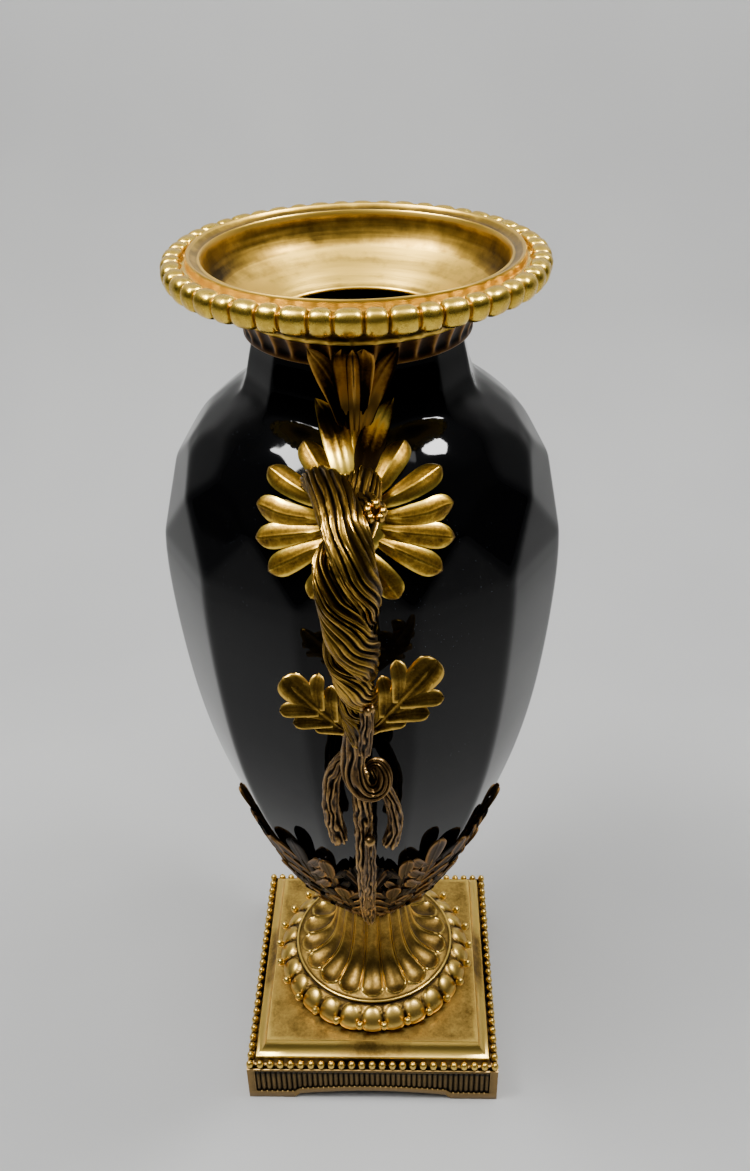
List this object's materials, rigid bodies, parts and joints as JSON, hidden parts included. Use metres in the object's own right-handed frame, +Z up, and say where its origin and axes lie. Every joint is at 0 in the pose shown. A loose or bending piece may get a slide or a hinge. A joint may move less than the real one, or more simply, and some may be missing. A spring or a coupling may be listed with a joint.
{
  "type": "ceramic vase",
  "caption": "Tall faceted black baluster vase, hollow and open at the neck, in gilt-brass mounts with vine handles on a square plinth.",
  "frame": {"origin": "middle of the underside, at the level the plinth's corner feet rest on", "axes": "+Z up along the vase's axis, -Y towards the front handle, +X to its right seen from the front"},
  "size_m": [0.2256, 0.3346, 0.6],
  "materials": {
    "plinth": "polished gilt",
    "foot": "polished gilt",
    "mouth_rim": "polished gilt",
    "palmette_front": "polished gilt",
    "palmette_back": "polished gilt",
    "leaf_cup": "brown patinated",
    "vase_body": "black gloss glaze",
    "neck_collar": "coppery, lightly worn",
    "handle_front": "antiqued",
    "handle_back": "antiqued"
  },
  "bodies": {
    "root": {"plinth": "plinth", "foot": "foot", "mouth_rim": "mouth_rim", "palmette_front": "palmette_front", "palmette_back": "palmette_back", "leaf_cup": "leaf_cup", "vase_body": "vase_body", "neck_collar": "neck_collar", "handle_front": "handle_front", "handle_back": "handle_back"}
  },
  "joints": []
}
